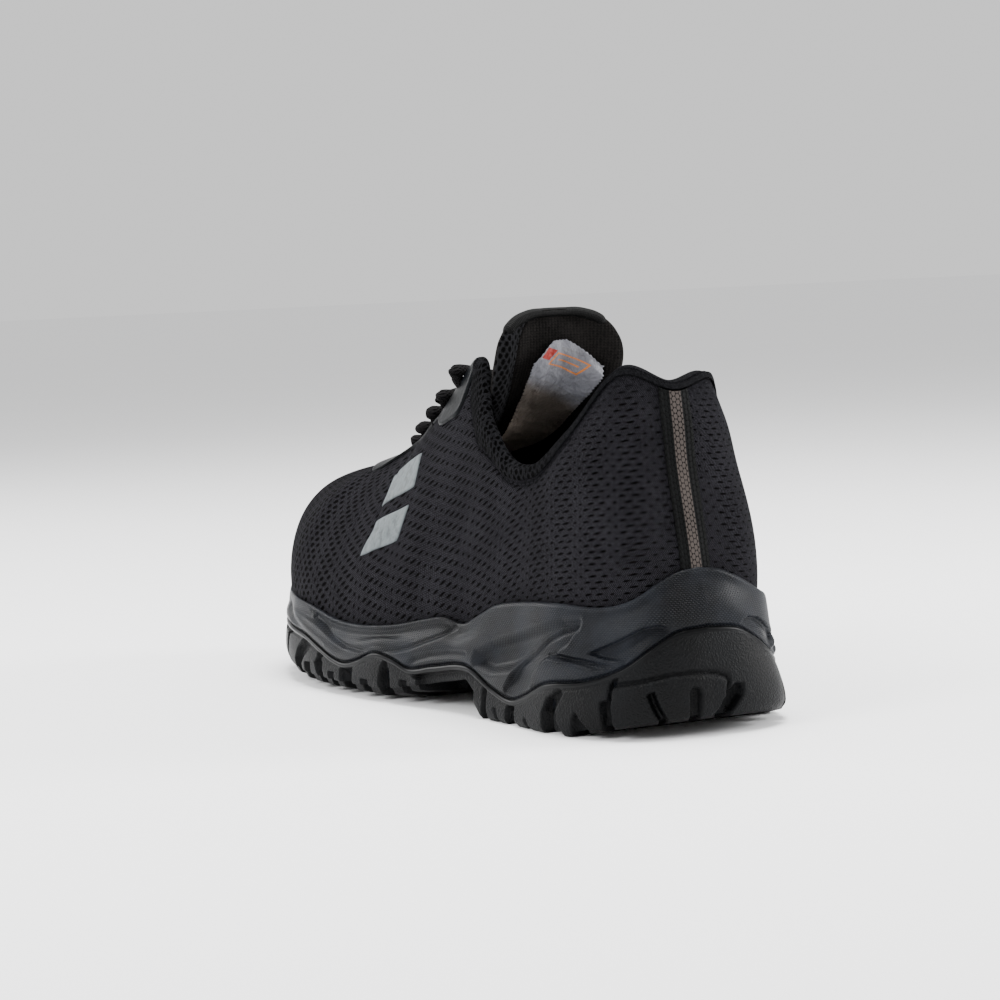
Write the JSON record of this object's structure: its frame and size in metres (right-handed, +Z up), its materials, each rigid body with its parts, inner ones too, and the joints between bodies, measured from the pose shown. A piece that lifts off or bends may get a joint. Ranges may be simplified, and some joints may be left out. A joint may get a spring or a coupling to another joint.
{
  "type": "safety sneaker",
  "caption": "Low black mesh work sneaker for a left foot, with a lugged rubber sole, waved foam midsole, padded collar, tongue, lace crossings and a woven heel tape.",
  "frame": {"origin": "middle of the flat heel tread, on the floor", "axes": "+Y towards the toe, +Z up, +X towards the inner side of the foot"},
  "size_m": [0.1146, 0.2901, 0.137],
  "materials": {
    "outsole_rubber": "matt, fine grain",
    "midsole_foam": "matt foam skin with a fine woven texture",
    "insole_cloth": "brushed cloth",
    "upper_mesh": "open sandwich mesh",
    "tongue_cloth": "soft knit",
    "label_cloth": "satin label ribbon, blank",
    "eyestay_film": "satin film",
    "heel_tape": "woven webbing with a pale middle stripe",
    "lace_cord": "braided cord"
  },
  "bodies": {
    "root": {"outsole": "outsole_rubber", "midsole": "midsole_foam", "insole": "insole_cloth", "upper": "upper_mesh", "tongue": "tongue_cloth", "tongue_label": "label_cloth", "eyestay_outer": "eyestay_film", "eyestay_inner": "eyestay_film", "heel_strip": "heel_tape", "laces": "lace_cord"}
  },
  "joints": []
}
